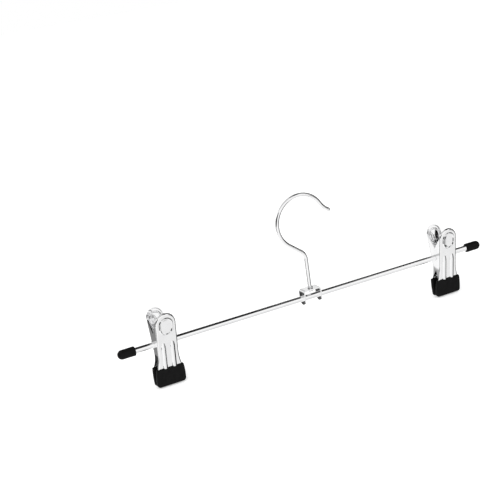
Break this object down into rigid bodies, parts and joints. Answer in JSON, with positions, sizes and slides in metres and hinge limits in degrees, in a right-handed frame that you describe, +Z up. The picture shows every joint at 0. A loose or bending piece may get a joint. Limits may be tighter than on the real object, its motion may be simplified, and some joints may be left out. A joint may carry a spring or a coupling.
{
  "type": "skirt hanger",
  "caption": "Chrome clip hanger: a straight bar under a swivel wire hook, with sliding spring clips in vinyl sleeves and capped bar ends.",
  "frame": {"origin": "inside top of the hook's loop, where the hanger rests on a rail", "axes": "+X along the bar towards the hook's open side, +Z up along the hook's stem, front clip plates face -Y"},
  "size_m": [0.305, 0.0222, 0.1087],
  "materials": {
    "chrome_wire": "bright chrome plate on drawn steel wire",
    "chrome_sheet": "bright chrome plate on stamped steel sheet",
    "spring_steel": "bright zinc-plated spring wire",
    "black_vinyl": "soft black vinyl with a low sheen"
  },
  "bodies": {
    "hook": {"hook": "chrome_wire"},
    "frame": {"saddle": "chrome_sheet", "bar": "chrome_wire", "left_end_cap": "black_vinyl", "right_end_cap": "black_vinyl"},
    "left_slider": {"left_spring": "spring_steel"},
    "left_rear_jaw": {"left_rear_plate": "chrome_sheet", "left_rear_sleeve": "black_vinyl"},
    "left_front_jaw": {"left_front_plate": "chrome_sheet", "left_front_sleeve": "black_vinyl"},
    "right_slider": {"right_spring": "spring_steel"},
    "right_rear_jaw": {"right_rear_plate": "chrome_sheet", "right_rear_sleeve": "black_vinyl"},
    "right_front_jaw": {"right_front_plate": "chrome_sheet", "right_front_sleeve": "black_vinyl"}
  },
  "joints": [
    {"name": "hook_swivel", "type": "hinge", "parent": "hook", "child": "frame", "pos_m": [0, 0, -0.0691], "axis": [0, 0, 1], "continuous": true},
    {"name": "left_clip_slide", "type": "slide", "parent": "frame", "child": "left_slider", "axis": [1, 0, 0], "range_m": [-0.014, 0.1028]},
    {"name": "left_clip_swing", "type": "hinge", "parent": "left_slider", "child": "left_rear_jaw", "pos_m": [-0.118, 0, -0.07505], "axis": [1, 0, 0], "continuous": true},
    {"name": "left_jaw_open", "type": "hinge", "parent": "left_rear_jaw", "child": "left_front_jaw", "pos_m": [-0.118, 0, -0.07505], "axis": [-1, 0, 0], "range_deg": [0, 40], "stiffness_Nm_per_rad": 0.15, "springref_deg": -45.84, "deforming": ["left_spring"]},
    {"name": "right_clip_slide", "type": "slide", "parent": "frame", "child": "right_slider", "axis": [1, 0, 0], "range_m": [-0.1028, 0.014]},
    {"name": "right_clip_swing", "type": "hinge", "parent": "right_slider", "child": "right_rear_jaw", "pos_m": [0.118, 0, -0.07505], "axis": [1, 0, 0], "continuous": true},
    {"name": "right_jaw_open", "type": "hinge", "parent": "right_rear_jaw", "child": "right_front_jaw", "pos_m": [0.118, 0, -0.07505], "axis": [-1, 0, 0], "range_deg": [0, 40], "stiffness_Nm_per_rad": 0.15, "springref_deg": -45.84, "deforming": ["right_spring"]}
  ]
}
